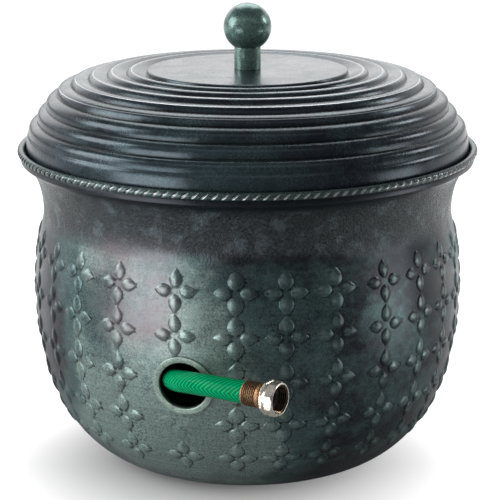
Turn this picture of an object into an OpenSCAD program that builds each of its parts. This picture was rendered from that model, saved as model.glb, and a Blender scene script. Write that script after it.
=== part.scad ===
// Garden hose pot: a spun steel pot with a stepped lid, a hose port and a coiled hose.
// Millimetres, +Z up, the front is -Y. The origin is on the ground, on the pot's own axis.

/* [Pot] */
// Radius of the flat ring that the pot stands on
foot_r = 120; // [115:1:125]
// Reach of the rounding above the foot, a curve handle
foot_round = 54; // [50:1:58]
// Largest radius of the belly
belly_r = 222; // [218:1:228]
// Height of the widest place
belly_z = 173; // [165:1:180]
// Fullness of the belly below its widest place, a curve handle
belly_low = 109; // [104:1:114]
// Fullness of the belly above its widest place, a curve handle
belly_high = 60; // [45:1:65]
// Radius of the neck
neck_r = 211.5; // [208:0.5:214]
// Height of the neck
neck_z = 261; // [256:1:266]
// Curve handle below the neck
neck_low = 15; // [10:1:20]
// Curve handle above the neck
neck_high = 19; // [14:1:24]
// Radius at which the flared mouth ends
mouth_r = 231; // [228:0.5:234]
// Height at which the flared mouth ends
mouth_z = 312; // [306:1:318]
// Outward curve handle of the flare
flare_out = 14; // [10:1:18]
// Upward curve handle of the flare
flare_up = 6.5; // [5:0.5:8]
// How far the plain band under the rope stands out from the flare
band_out = 2.2; // [1.8:0.1:3]
// Height of the rope's centre above the flare
rope_up = 10.7; // [9:0.1:13]
// Thickness of the pot's sheet steel
pot_wall = 1.2; // [1:0.1:1.5]
// Inner radius of the foot ring
foot_lip_r = 104; // [98:1:108]

/* [Bottom plate] */
// Thickness of the bottom plate
plate_t = 1.5; // [1:0.1:2.5]
// Radius of a drain hole
drain_r = 4; // [3:0.5:6]
// Distance of the drain holes from the axis
drain_ring_r = 60; // [40:1:80]
// Number of drain holes
drain_count = 4; // [3:1:8]

/* [Rope edge] */
// Thickness of the rolled rope bead
rope_d = 7.7; // [7.3:0.1:9]
// Wall of the rolled bead
rope_wall = 1; // [0.8:0.1:1.1]
// Clearance between the bead, its wire and the pot's edge
bead_gap = 0.1; // [0.05:0.05:0.2]

/* [Hose port] */
// Angle of the port to the left of the front
port_turn = 16; // [0:1:30]
// Height of the port's centre
port_z = 134; // [130:1:138]
// Radius of the ring's clear hole
port_r = 24; // [23:0.5:26]
// Width of the ring's outer flange
port_flange = 6; // [4:0.5:8]
// Thickness of the ring's outer flange
port_flange_t = 1.6; // [1:0.1:2.5]
// Wall of the ring's collar
port_collar_t = 1.2; // [1:0.1:1.5]
// Width of the lip that is rolled over inside the pot
port_lip = 1.8; // [1:0.1:3]
// Thickness of the lip that is rolled over inside the pot
port_lip_t = 1.2; // [0.8:0.1:1.5]
// Clearance round the collar and under the flange
port_gap = 0.2; // [0.1:0.05:0.4]

/* [Lid] */
// Height of the lid's flat top above its rim
lid_h = 89.8; // [87:0.1:92]
// Gap between the lid's skirt and the rope
lid_gap = 1.5; // [1:0.1:2.5]
// Radius of the lid's flat top
disc_r = 102; // [98:0.1:105]
// Depth of the groove round the flat top
disc_drop = 4; // [3:0.1:4.5]
// Width of the rounded edge of the flat top
disc_edge = 3; // [2:0.1:4]
// Number of steps between the flat top and the skirt
lid_steps = 8; // [6:1:10]
// Width of each step, as a share of the one above it
step_ratio = 0.96; // [0.94:0.005:1]
// Angle at which the top step leaves the groove above it
step_in = 16; // [10:1:20]
// Angle at which the lowest step leaves the groove above it
step_in_low = 44; // [36:1:47]
// Angle at which the top step meets the groove below it
step_out = 68; // [56:1:70]
// Angle at which the lowest step meets the groove below it
step_out_low = 27; // [21:1:33]
// Height of the lowest groove above the lid's rim
skirt_h = 27.5; // [25:0.5:30]
// How far the skirt leans in up to the lowest groove
skirt_in = 2.3; // [1.5:0.1:3]
// Flatness of the dome near the top, a curve handle
dome_top = 102; // [95:1:108]
// Inward curve handle of the dome at the skirt
dome_side = 31.6; // [28:0.1:35]
// Upward curve handle of the dome at the skirt
dome_up = 38.2; // [35:0.1:41]
// Thickness of the lid's sheet steel
lid_wall = 1; // [0.8:0.1:1.2]
// Radius of the wire in the lid's rim
lid_wire_r = 1.2; // [1:0.05:1.6]
// Clearance round the wire in the lid's rim
lid_wire_gap = 0.1; // [0.1:0.05:0.2]
// Gap between the resting lid and the pot's flare
seat_gap = 0.3; // [0.2:0.05:0.5]

/* [Knob] */
// Radius of the knob's ball
ball_r = 24.4; // [22:0.1:27]
// Radius of the knob's neck
stem_r = 13.6; // [11:0.1:15]
// Height of the knob's neck
stem_h = 22.6; // [18:0.1:30]
// Radius of the knob's screw
screw_r = 3; // [2.5:0.5:4]
// Depth of the screw's hole in the ball
screw_depth = 20; // [12:1:28]
// Clearance round the screw
screw_gap = 0.2; // [0.1:0.05:0.4]
// Outer radius of the washer under the lid
washer_r = 10; // [8:0.5:14]
// Thickness of the washer
washer_t = 1.5; // [1:0.1:2]
// Width of the nut across its flats
nut_af = 10; // [9.5:0.5:14]
// Height of the nut
nut_h = 5; // [3:0.5:7]
// Length of screw that stands out of the nut
screw_tip = 2; // [1:0.5:4]

/* [Hose] */
// Outer diameter of the hose
hose_d = 21; // [20.6:0.1:21]
// Diameter of the hose's bore
hose_bore = 15.9; // [15.6:0.1:16.2]
// Gap between turns that lie side by side
turn_gap = 0.7; // [0.6:0.05:0.9]
// Number of layers in the coil
coil_layers = 4; // [2:2:4]
// Number of turns in each layer
layer_turns = 2.25; // [2:0.25:2.25]
// Gap between the coil and the pot's side
coil_side_gap = 0.6; // [0.5:0.1:1.5]
// Gap between the coil and the bottom plate
coil_gap = 0.3; // [0.2:0.05:0.8]

/* [Couplings] */
// Width of the swivel nut across its flats
nut_flat = 30.4; // [30:0.1:33]
// Length of the swivel nut
swivel_l = 15.2; // [14.6:0.1:18]
// Radius of the thread's crest in the swivel nut
thread_r = 12.2; // [12.1:0.05:12.3]
// Depth of the thread in front of the washer
thread_l = 9.5; // [8.5:0.1:10]
// Radius of the pocket behind the thread, which holds the washer
pocket_r = 12.8; // [12.5:0.1:13.2]
// Thickness of the wall at the back of the swivel nut
swivel_wall = 1.4; // [1:0.1:2]
// Thickness of the sealing washer
seal_t = 2.6; // [2:0.1:3]
// Inner radius of the sealing washer
seal_r = 8; // [7:0.1:9]
// Radius of the tail piece's neck, on which the nut turns
tail_r = 9.5; // [8.5:0.1:10]
// Radius of the tail piece's flange inside the nut
tail_flange_r = 11.4; // [11:0.1:11.8]
// Radius of the waterway through the fittings
water_r = 6; // [5:0.1:6.5]
// Radius of the barb in the hose
barb_r = 7.5; // [7.2:0.1:7.6]
// Length of the barb in the hose
barb_l = 17; // [12:0.5:18]
// Radial clearance between the nut and the neck
turn_fit = 0.05; // [0.03:0.01:0.1]
// Clearance between the seal, the flange and the nut
face_gap = 0.1; // [0.05:0.05:0.15]
// Gap between the swivel nut and the ferrule
swivel_gap = 1.8; // [1.4:0.1:2.5]
// Outer radius of a ferrule
ferrule_r = 11.6; // [11.3:0.1:12.2]
// Length of a ferrule
ferrule_l = 20; // [18:0.5:24]
// Thickness of a ferrule's end wall
ferrule_end = 1; // [0.8:0.1:1.4]
// Clearance between a ferrule and the hose
ferrule_gap = 0.12; // [0.1:0.01:0.2]
// Number of crimped grooves in a ferrule
crimp_count = 6; // [4:1:7]
// Depth of a crimped groove
crimp_depth = 0.45; // [0.2:0.05:0.5]
// Radius of the male thread
male_r = 13.45; // [13.3:0.05:13.5]
// Length of the male thread
male_l = 12; // [10:0.5:14]
// Thickness of the male end's grip flange
grip_t = 8; // [6:0.5:10]
// Width of the grip across its flats
grip_af = 27; // [26:0.5:27.5]

/* [Hidden] */
$fn = 96;

verdigris = "#4f6b66";
dark_patina = "#39494b";
steel = "#8d9092";

// ---- Curves ----
function bezier(a, b, c, d, t) =
    pow(1 - t, 3) * a + 3 * pow(1 - t, 2) * t * b + 3 * (1 - t) * t * t * c + pow(t, 3) * d;
function curve(a, b, c, d, n) = [for (i = [0 : n]) bezier(a, b, c, d, i / n)];
function tail(list) = [for (i = [1 : len(list) - 1]) list[i]];
function unit(v) = v / norm(v);
function turned(v, a) = [v.x * cos(a) - v.y * sin(a), v.x * sin(a) + v.y * cos(a)];
function reversed(list) = [for (i = [len(list) - 1 : -1 : 0]) list[i]];
// Direction of a line of points at point i
function heading(p, i) = unit(p[min(i + 1, len(p) - 1)] - p[max(i - 1, 0)]);
// A line of points moved to its left by d
function offset_left(p, d) = [for (i = [0 : len(p) - 1]) p[i] + d * turned(heading(p, i), 90)];
// Running length along a line of points
function running(p) = [for (i = 0, s = 0; i < len(p);
                            s = s + (i < len(p) - 1 ? norm(p[i + 1] - p[i]) : 0), i = i + 1) s];

// ---- Pot profile, [radius, height], from the foot up ----
belly = [belly_r, belly_z];
neck = [neck_r, neck_z];
mouth = [mouth_r, mouth_z];
pot_outer = concat(
    curve([foot_r, 0], [foot_r + foot_round, 0], belly - [0, belly_low], belly, 24),
    tail(curve(belly, belly + [0, belly_high], neck - [0, neck_low], neck, 10)),
    tail(curve(neck, neck + [0, neck_high], mouth - [flare_out, flare_up], mouth, 12)));
pot_inner = offset_left(pot_outer, pot_wall);
band_r = mouth_r + band_out;
band_step = 1.4;
rope_ring_r = band_r - pot_wall / 2;
rope_z = mouth_z + rope_up;
rim_wire_r = rope_d / 2 - rope_wall - bead_gap;
edge_z = rope_z - rim_wire_r - bead_gap;
radius_table = [for (p = pot_outer) [p.y, p.x]];
function pot_r(z) = lookup(z, radius_table);

// ---- Port ----
port_hole_r = port_r + port_collar_t + port_gap;
port_body_r = pot_r(port_z);
port_tilt = atan2(pot_r(port_z + port_hole_r) - pot_r(port_z - port_hole_r), 2 * port_hole_r);
// How deep the rim of the hole lies behind the wall's highest place, sideways and up and down
sag_side = port_body_r - sqrt(pow(port_body_r, 2) - pow(port_hole_r, 2));
sag_up = port_body_r - (pot_r(port_z + port_hole_r) + pot_r(port_z - port_hole_r)) / 2;
flange_back = -min(sag_side, sag_up) + port_gap;
lip_r = port_r + port_collar_t + port_lip;
lip_front = flange_back - port_gap - pot_wall - 1.5;

// ---- Lid ----
rope_inner_r = rope_ring_r - rope_d / 2;
lid_r = rope_inner_r - lid_gap;
hem_r = lid_wire_r + lid_wire_gap + lid_wall;
hem_x = lid_r - hem_r;
// The rim rests in the flare: its centre is at the lowest height that clears every point of it
hem_reach = hem_r + seat_gap;
hem_z = max([for (p = pot_inner) if (abs(p.x - hem_x) < hem_reach && p.y > neck_z)
             p.y + sqrt(pow(hem_reach, 2) - pow(p.x - hem_x, 2))]);
lid_top = hem_z + lid_h;
dome_start = [disc_r, lid_top - disc_drop];
dome_end = [lid_r - skirt_in, hem_z + skirt_h];
dome = curve(dome_start, dome_start + [dome_top, 0], dome_end + [-dome_side, dome_up], dome_end, 60);
dome_s = running(dome);
dome_l = dome_s[len(dome_s) - 1];
first_groove = 1.5;
first_step = (dome_l - first_groove) * (1 - step_ratio) / (1 - pow(step_ratio, lid_steps));
equal_step = (dome_l - first_groove) / lid_steps;
function step_s(k) = first_groove + (step_ratio == 1 ? equal_step * k
                     : first_step * (1 - pow(step_ratio, k)) / (1 - step_ratio));
dome_x_table = [for (i = [0 : len(dome) - 1]) [dome_s[i], dome[i].x]];
dome_z_table = [for (i = [0 : len(dome) - 1]) [dome_s[i], dome[i].y]];
function groove(k) = [lookup(step_s(k), dome_x_table), lookup(step_s(k), dome_z_table)];
step_long = 0.6;
step_short = 0.4;
function low_share(k) = k / (lid_steps - 1);
function in_angle(k) = step_in + (step_in_low - step_in) * low_share(k);
function out_angle(k) = step_out + (step_out_low - step_out) * low_share(k);
function lid_step(k, a, b) = curve(a, a + step_long * turned(b - a, in_angle(k)),
                                   b - step_short * turned(b - a, -out_angle(k)), b, 8);
disc_corner = [disc_r - disc_edge / 2, lid_top];
lid_outer = concat(
    curve(disc_corner, disc_corner + [disc_edge, 0], groove(0) + [-disc_edge / 3, disc_drop / 2], groove(0), 6),
    [for (k = [0 : lid_steps - 1]) each tail(lid_step(k, groove(k), groove(k + 1)))],
    tail(curve(dome_end, dome_end + [1.8, 0.2], [lid_r, hem_z + skirt_h / 2 + 2], [lid_r, hem_z + skirt_h / 3], 6)),
    // The edge is curled inwards round the wire
    [for (a = [0 : 20 : 280]) [hem_x + hem_r * cos(a), hem_z - hem_r * sin(a)]]);
lid_inner = offset_left(lid_outer, -lid_wall);

// ---- Knob ----
stem_top = lid_top + stem_h;
ball_z = stem_top + sqrt(pow(ball_r, 2) - pow(stem_r, 2));
under_lid = lid_top - lid_wall;

// ---- Hose ----
hose_r = hose_d / 2;
turn_pitch = hose_d + turn_gap;
floor_z = pot_wall + plate_t;
coil_z = floor_z + coil_gap + hose_r;
// The lowest outer turn is as wide as the pot's side lets it be
side_reach = hose_r + coil_side_gap;
coil_r_out = min([for (p = pot_inner) if (abs(p.y - coil_z) < side_reach)
                  p.x - sqrt(pow(side_reach, 2) - pow(p.y - coil_z, 2))]);
coil_r_in = coil_r_out - turn_pitch * layer_turns;
coil_turns = coil_layers * layer_turns;
coil_end_angle = 168;
// Rings of neighbouring turns stand side by side, so the flats between them stay parallel
rings_per_turn = 24;
// Distance travelled inside the layer at t turns from the upper end, and the layer's number
function layer_at(t) = min(floor(t / layer_turns), coil_layers - 1);
function into_layer(t) = t - layer_at(t) * layer_turns;
function coil_r(t) = layer_at(t) % 2 == 0 ? coil_r_out - turn_pitch * into_layer(t)
                                          : coil_r_in + turn_pitch * into_layer(t);
// Share of the climb between two layers, a half turn long
function eased(u) = let (v = max(0, min(1, u))) v * v * (3 - 2 * v);
function layers_down(t, j = 1) = j >= coil_layers ? 0
    : eased((t - j * layer_turns + 0.25) / 0.5) + layers_down(t, j + 1);
function coil_point(t) = let (a = coil_end_angle - 360 * (coil_turns - t), r = coil_r(t))
    [r * cos(a), r * sin(a), coil_z + turn_pitch * (coil_layers - 1 - layers_down(t))];
coil_count = coil_turns * rings_per_turn;
coil_turn_points = [for (i = [0 : coil_count]) coil_point(coil_turns * i / coil_count)];
function compass(a, rise = 0) = [cos(a) * cos(rise), sin(a) * cos(rise), sin(rise)];
// Both ends run straight for one diameter. The upper end lifts a little under its thicker ferrule.
male_rise = 5;
lower_dir = compass(coil_end_angle + 90);
upper_dir = compass(coil_end_angle - 360 * coil_turns - 90, male_rise);
coil_lower = coil_turn_points[coil_count] + hose_d * lower_dir;
coil_upper = coil_turn_points[0] + hose_d * upper_dir;
coil_points = concat([coil_upper], coil_turn_points, [coil_lower]);

// The lead climbs round the pot's wall and then crosses the top of the coil: [radius, angle, height]
lead_round = [[136, 189, 15], [141, 206, 18], [150, 225, 22], [157, 245, 27], [163, 265, 33],
              [168, 285, 39], [172, 305, 45], [174, 325, 51], [174, 345, 58], [172, 5, 65],
              [168, 25, 73], [161, 45, 82], [151, 65, 91], [139, 85, 98], [127, 105, 100.5],
              [116, 125, 100.5], [108, 145, 100.5], [104, 165, 101], [102, 185, 103], [103, 205, 108]];
// Then it runs straight through the port and bends gently towards the coupling: [x, y, z]
lead_out = [[-87, -72, 113], [-83, -100, 118], [-80, -128, 123], [-77, -156, 128], [-73.5, -183, 133],
            [-66, -209, 138.5], [-51.5, -231, 144], [-32.5, -250, 147.6]];
// Middle of the swivel nut's open face, and the direction in which it points
face = [30, -292, 150];
face_dir = unit([0.84, -0.55, 0.02]);
hose_end_back = swivel_l + swivel_gap + ferrule_end;
ferrule_back = swivel_l + swivel_gap + ferrule_l;
function on_axis(back) = face - back * face_dir;
lead_points = concat([coil_lower],
                     [for (p = lead_round) [p[0] * cos(p[1]), p[0] * sin(p[1]), p[2]]],
                     lead_out,
                     [on_axis(ferrule_back), on_axis(hose_end_back)]);

// ---- Tubes swept along points ----
// Direction at point i; the ends keep the direction given for them
function tube_dir(p, i, first, last) = i == 0 ? first : i == len(p) - 1 ? last
    : unit(unit(p[i + 1] - p[i]) + unit(p[i] - p[i - 1]));
// One ring of n corners, the first one pointing up, as the hose rests on a corner
function ring_at(c, d, r, n) = let (side = unit(cross(d, [0, 0, 1])), up = cross(side, d))
    [for (k = [0 : n - 1]) c + r * (cos(360 * k / n) * up - sin(360 * k / n) * side)];
module tube(p, first, last, r, n, bore = 0) {
    m = len(p);
    outer = [for (i = [0 : m - 1]) each ring_at(p[i], tube_dir(p, i, first, last), r, n)];
    inner = bore == 0 ? [] : [for (i = [0 : m - 1]) each ring_at(p[i], tube_dir(p, i, first, last), bore, n)];
    base = m * n;
    skin = [for (i = [0 : m - 2]) for (k = [0 : n - 1]) let (a = i * n + k, b = i * n + (k + 1) % n)
            each [[a, b, b + n], [a, b + n, a + n]]];
    lining = bore == 0 ? [] : [for (f = skin) [f[0] + base, f[2] + base, f[1] + base]];
    caps = bore == 0
        ? [for (k = [1 : n - 2]) each [[0, k + 1, k], [base - n, base - n + k, base - n + k + 1]]]
        : [for (k = [0 : n - 1]) let (j = (k + 1) % n, e = base - n)
           each [[k, base + k, base + j], [k, base + j, j],
                 [e + k, e + j, base + e + j], [e + k, base + e + j, base + e + k]]];
    polyhedron(concat(outer, inner), concat(skin, lining, caps));
}
coil_sides = 6;
lead_sides = 12;

function total(p) = let (s = running(p)) s[len(s) - 1];
hose_length = total(coil_points) + total(lead_points);
echo(hose_length_mm = hose_length, turns = coil_turns);
// Least gap between turns, measured on the middles of rings that are over half a turn apart
least_gap = min([for (i = [0 : len(coil_points) - 1]) for (j = [i + rings_per_turn / 2 : len(coil_points) - 1])
                 norm(coil_points[i] - coil_points[j])]) - hose_d;
echo(least_gap_mm = least_gap, coil_r_in = coil_r_in, coil_r_out = coil_r_out);

// ---- Placing ----
// Puts a piece drawn along +Z at a point, with +Z turned to a direction
module along(point, dir) {
    translate(point) rotate([0, acos(dir.z), atan2(dir.y, dir.x)]) children();
}
module at_port() {
    rotate([0, 0, -port_turn]) translate([0, -port_body_r, port_z]) rotate([90 + port_tilt, 0, 0]) children();
}
module ring_solid(r_out, r_in, h) {
    difference() {
        cylinder(r = r_out, h = h);
        translate([0, 0, -1]) cylinder(r = r_in, h = h + 2);
    }
}

// ---- Pot ----
module side_shell() {
    color(verdigris) difference() {
        rotate_extrude() polygon(concat(
            [[foot_lip_r, 0]], pot_outer, [[band_r, mouth_z + band_step], [band_r, edge_z],
            [band_r - pot_wall, edge_z], [band_r - pot_wall, mouth_z + band_step + pot_wall / 2]],
            reversed(pot_inner), [[foot_lip_r, pot_wall]]));
        at_port() translate([0, 0, -30]) cylinder(r = port_hole_r, h = 60);
    }
}

module base_plate() {
    color(dark_patina) translate([0, 0, pot_wall]) difference() {
        cylinder(r = foot_r - 0.5, h = plate_t);
        for (i = [0 : drain_count - 1]) rotate([0, 0, 360 / drain_count * (i + 0.5)])
            translate([drain_ring_r, 0, -1]) cylinder(r = drain_r, h = plate_t + 2);
    }
}

module rope_rim() {
    color(dark_patina) rotate_extrude() difference() {
        translate([rope_ring_r, rope_z]) circle(rope_d / 2, $fn = 48);
        translate([rope_ring_r, rope_z]) circle(rope_d / 2 - rope_wall, $fn = 48);
        translate([band_r - pot_wall - bead_gap, rope_z - rope_d])
            square([pot_wall + 2 * bead_gap, rope_d]);
    }
}

module rim_wire() {
    color(steel) rotate_extrude() translate([rope_ring_r, rope_z]) circle(rim_wire_r, $fn = 32);
}

module port_ring() {
    color(verdigris) at_port() difference() {
        union() {
            translate([0, 0, flange_back]) cylinder(r = port_r + port_flange, h = port_flange_t);
            translate([0, 0, lip_front]) cylinder(r = port_r + port_collar_t, h = flange_back - lip_front + 0.1);
            translate([0, 0, lip_front - port_lip_t]) cylinder(r = lip_r, h = port_lip_t);
        }
        translate([0, 0, lip_front - 10]) cylinder(r = port_r, h = 30);
    }
}

// ---- Lid ----
module lid_shell() {
    color(dark_patina) difference() {
        rotate_extrude() polygon(concat([[0, lid_top]], lid_outer, reversed(lid_inner), [[0, under_lid]]));
        translate([0, 0, under_lid - 5]) cylinder(r = screw_r + screw_gap, h = 10);
    }
}

module lid_wire() {
    color(steel) rotate_extrude() translate([hem_x, hem_z]) circle(lid_wire_r, $fn = 32);
}

module knob_ball() {
    color(verdigris) difference() {
        translate([0, 0, ball_z]) sphere(ball_r);
        translate([0, 0, stem_top - 2 * ball_r]) cylinder(r = 2 * ball_r, h = 2 * ball_r);
        translate([0, 0, stem_top - 1]) cylinder(r = screw_r + bead_gap, h = screw_depth + 1);
    }
}

module knob_neck() {
    color(verdigris) translate([0, 0, lid_top]) ring_solid(stem_r, screw_r + screw_gap, stem_h);
}

module knob_screw() {
    bottom = under_lid - washer_t - nut_h - screw_tip;
    color(steel) translate([0, 0, bottom]) cylinder(r = screw_r, h = stem_top + screw_depth - 1 - bottom);
}

module knob_washer() {
    color(steel) translate([0, 0, under_lid - washer_t]) ring_solid(washer_r, screw_r + screw_gap, washer_t);
}

module knob_nut() {
    color(steel) translate([0, 0, under_lid - washer_t - nut_h]) difference() {
        cylinder(r = nut_af / 2 / cos(30), h = nut_h, $fn = 6);
        translate([0, 0, -1]) cylinder(r = screw_r + bead_gap, h = nut_h + 2);
    }
}

// ---- Hose ----
module hose_lead() {
    color("#128a5c") tube(lead_points, lower_dir, face_dir, hose_r, lead_sides, hose_bore / 2);
}

module hose_coil() {
    color("#128a5c") tube(coil_points, -upper_dir, lower_dir, hose_r, coil_sides);
}

// A crimped sleeve with its end wall at z = 0, open towards +Z
module ferrule(neck_hole) {
    crimp_pitch = (ferrule_l - 5) / crimp_count;
    difference() {
        cylinder(r = ferrule_r, h = ferrule_l);
        translate([0, 0, ferrule_end]) cylinder(r = hose_r + ferrule_gap, h = ferrule_l);
        translate([0, 0, -1]) cylinder(r = neck_hole, h = ferrule_l);
        for (i = [0 : crimp_count - 1]) translate([0, 0, 4 + crimp_pitch * i])
            ring_solid(ferrule_r + 1, ferrule_r - crimp_depth, crimp_pitch / 2);
    }
}

module hose_ferrule() {
    color("#7a5a3c") along(on_axis(swivel_l + swivel_gap), -face_dir) ferrule(barb_r + 0.1);
}

// The tail piece: flange inside the nut, neck for the nut to turn on, barb in the hose
module coupling_tail() {
    flange_front = thread_l + seal_t + face_gap;
    flange_end = swivel_l - swivel_wall - face_gap;
    neck_end = swivel_l + swivel_gap;
    color("#b99a63") along(face, -face_dir) difference() {
        union() {
            translate([0, 0, flange_front]) cylinder(r = tail_flange_r, h = flange_end - flange_front);
            translate([0, 0, flange_end - 0.1]) cylinder(r = tail_r, h = neck_end - flange_end + 0.1);
            translate([0, 0, neck_end - 0.1]) cylinder(r = barb_r, h = ferrule_end + barb_l + 0.1);
        }
        cylinder(r = water_r, h = 100);
    }
}

module coupling_nut() {
    flat_r = nut_flat / 2;
    corner_r = flat_r / cos(22.5);
    // The turned outline stands clear of the corners, so that it only cuts chamfers and the groove
    clear_r = corner_r + 0.5;
    groove = swivel_l * 0.66;
    color("#c9c6bd") along(face, -face_dir) difference() {
        intersection() {
            rotate([0, 0, 22.5]) cylinder(r = corner_r, h = swivel_l, $fn = 8);
            rotate_extrude() polygon([[0, 0], [flat_r - 0.3, 0], [clear_r, 1.8], [clear_r, groove - 2.2],
                [flat_r - 0.8, groove - 0.8], [flat_r - 0.8, groove + 0.3], [clear_r, groove + 1.7],
                [clear_r, swivel_l - 2.6], [flat_r - 1.2, swivel_l], [0, swivel_l]]);
        }
        translate([0, 0, -1]) cylinder(r = thread_r, h = thread_l + 1.1);
        translate([0, 0, thread_l]) cylinder(r = pocket_r, h = swivel_l - swivel_wall - thread_l);
        cylinder(r = tail_r + turn_fit, h = swivel_l + 1);
    }
}

module coupling_seal() {
    color("#3a3a3c") along(on_axis(thread_l), -face_dir) ring_solid(pocket_r - face_gap, seal_r, seal_t);
}

module male_ferrule() {
    color("#7a5a3c") along(coil_upper + ferrule_end * upper_dir, -upper_dir) ferrule(barb_r + 0.1);
}

module male_fitting() {
    color("#c9c6bd") along(coil_upper + ferrule_end * upper_dir, upper_dir) difference() {
        union() {
            rotate([0, 0, 30]) cylinder(r = grip_af / 2 / cos(30), h = grip_t, $fn = 6);
            translate([0, 0, grip_t - 0.1]) cylinder(r = male_r, h = male_l + 0.1);
            translate([0, 0, -ferrule_end - barb_l]) cylinder(r = barb_r, h = ferrule_end + barb_l + 0.1);
        }
        translate([0, 0, -50]) cylinder(r = water_r, h = 100);
    }
}

side_shell();
base_plate();
rope_rim();
rim_wire();
port_ring();
lid_shell();
lid_wire();
knob_ball();
knob_neck();
knob_screw();
knob_washer();
knob_nut();
hose_lead();
hose_coil();
hose_ferrule();
coupling_tail();
coupling_nut();
coupling_seal();
male_ferrule();
male_fitting();
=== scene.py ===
"""Garden hose pot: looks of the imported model. Sizes below are in millimetres, as in the part's source."""
import math
import bpy
import numpy as np
from mathutils import Matrix, Vector
from mathutils.geometry import delaunay_2d_cdt


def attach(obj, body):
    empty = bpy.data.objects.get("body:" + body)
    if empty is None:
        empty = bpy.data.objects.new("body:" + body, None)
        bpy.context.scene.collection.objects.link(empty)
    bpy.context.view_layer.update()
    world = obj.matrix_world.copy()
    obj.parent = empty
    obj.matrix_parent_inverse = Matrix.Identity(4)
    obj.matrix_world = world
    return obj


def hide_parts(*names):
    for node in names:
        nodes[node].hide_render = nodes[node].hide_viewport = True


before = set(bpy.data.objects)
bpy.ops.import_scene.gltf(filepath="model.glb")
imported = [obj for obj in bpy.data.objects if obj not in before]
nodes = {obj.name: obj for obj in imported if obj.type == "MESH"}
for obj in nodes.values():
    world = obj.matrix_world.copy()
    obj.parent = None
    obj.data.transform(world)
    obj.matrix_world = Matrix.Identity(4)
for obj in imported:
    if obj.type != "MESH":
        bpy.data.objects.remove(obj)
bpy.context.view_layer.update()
MM = 0.001


# ---- Camera, at the photograph's viewing angle ----
camera = bpy.data.objects.new("camera", bpy.data.cameras.new("camera"))
bpy.context.scene.collection.objects.link(camera)
bpy.context.scene.camera = camera
camera.location = (0.0026, -1.727, 0.6787)
camera.rotation_euler = (math.radians(90 - 15.19), 0, 0)
camera.data.lens = 122.3
camera.data.sensor_width = 36


# ---- Curves ----
def vec(*numbers):
    return np.array(numbers, float)


def unit(v):
    """A vector, or each row of vectors, made 1 long."""
    return v / np.linalg.norm(v, axis=-1, keepdims=True)


def bezier(a, b, c, d, n):
    """n + 1 points of a Bezier curve."""
    t = np.linspace(0, 1, n + 1)[:, None]
    u = 1 - t
    return u ** 3 * vec(*a) + 3 * u ** 2 * t * vec(*b) + 3 * u * t * t * vec(*c) + t ** 3 * vec(*d)


def smooth_line(points, n):
    """A smooth line through the points, with n steps between two of them."""
    p = np.asarray(points, float)
    p = np.vstack([2 * p[0] - p[1], p, 2 * p[-1] - p[-2]])
    t = (np.arange(n) / n)[None, :, None]
    a, b, c, d = (p[i:len(p) - 3 + i, None, :] for i in range(4))
    line = 2 * b + (c - a) * t + (2 * a - 5 * b + 4 * c - d) * t ** 2 + (3 * b - a - 3 * c + d) * t ** 3
    return np.vstack([line.reshape(-1, p.shape[1]) / 2, p[-2]])


def running(p):
    """Running length along a line of points."""
    return np.concatenate([[0], np.cumsum(np.linalg.norm(np.diff(p, axis=0), axis=1))])


def left_normals(p):
    """Unit normals to the left of a line of points in a plane."""
    d = unit(np.gradient(p, axis=0))
    return np.stack([-d[:, 1], d[:, 0]], axis=1)


def turned(v, degrees):
    a = math.radians(degrees)
    return vec(v[0] * math.cos(a) - v[1] * math.sin(a), v[0] * math.sin(a) + v[1] * math.cos(a))


def fillet(corners, radius, n=3):
    """A closed line of corners with rounded corners; radius is one number or one for each corner."""
    p = np.asarray(corners, float)
    radii = np.broadcast_to(radius, len(p))
    out = []
    for i in range(len(p)):
        a, b, c = p[i - 1], p[i], p[(i + 1) % len(p)]
        r = min(radii[i], 0.45 * np.linalg.norm(a - b), 0.45 * np.linalg.norm(c - b))
        if r < 1e-6:
            out.append(b)
            continue
        start, end = b + r * unit(a - b), b + r * unit(c - b)
        out += [(1 - t) ** 2 * start + 2 * t * (1 - t) * b + t * t * end for t in np.linspace(0, 1, n + 1)]
    return np.array(out)


# ---- Sizes, as in the part's source ----
foot_r, foot_round, belly, belly_low, belly_high = 120, 54, (222, 173), 109, 60
neck, neck_low, neck_high = (211.5, 261), 15, 19
mouth, flare_out, flare_up, band_out = (231, 312), 14, 6.5, 2.2
rope_up, pot_wall, foot_lip_r, rope_d = 10.7, 1.2, 104, 7.7
port_turn, port_z, port_r, port_flange, port_flange_t = 16, 134, 24, 6, 1.6
port_collar_t, port_lip, port_lip_t, port_gap = 1.2, 1.8, 1.2, 0.2
lid_h, lid_gap, disc_r, disc_drop, disc_edge = 89.8, 1.5, 102, 4, 3
lid_steps, step_ratio, first_groove, skirt_h, skirt_in = 8, 0.96, 1.5, 27.5, 2.3
step_in, step_in_low, step_out, step_out_low = 16, 44, 68, 27
dome_top, dome_side, dome_up, lid_wall, hem_r, seat_gap = 102, 31.6, 38.2, 1, 2.3, 0.3
ball_r, stem_r, stem_h, screw_r = 24.4, 13.6, 22.6, 3
hose_r, hose_bore_r, turn_pitch, coil_layers, layer_turns = 10.5, 7.95, 21.7, 4, 2.25
coil_r_out, coil_z, coil_end_angle, male_rise, rings_per_turn = 131.636, 13.5, 168, 5, 24
nut_flat, swivel_l, thread_r, thread_l, pocket_r, swivel_wall = 30.4, 15.2, 12.2, 9.5, 12.8, 1.4
seal_t, seal_r, tail_r, swivel_gap, ferrule_r, ferrule_l, ferrule_end = 2.6, 8, 9.5, 1.8, 11.6, 20, 1
barb_r, ferrule_gap = 7.5, 0.12

band_r = mouth[0] + band_out
rope_ring_r = band_r - pot_wall / 2
rope_z = mouth[1] + rope_up
rope_r = rope_d / 2

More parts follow.
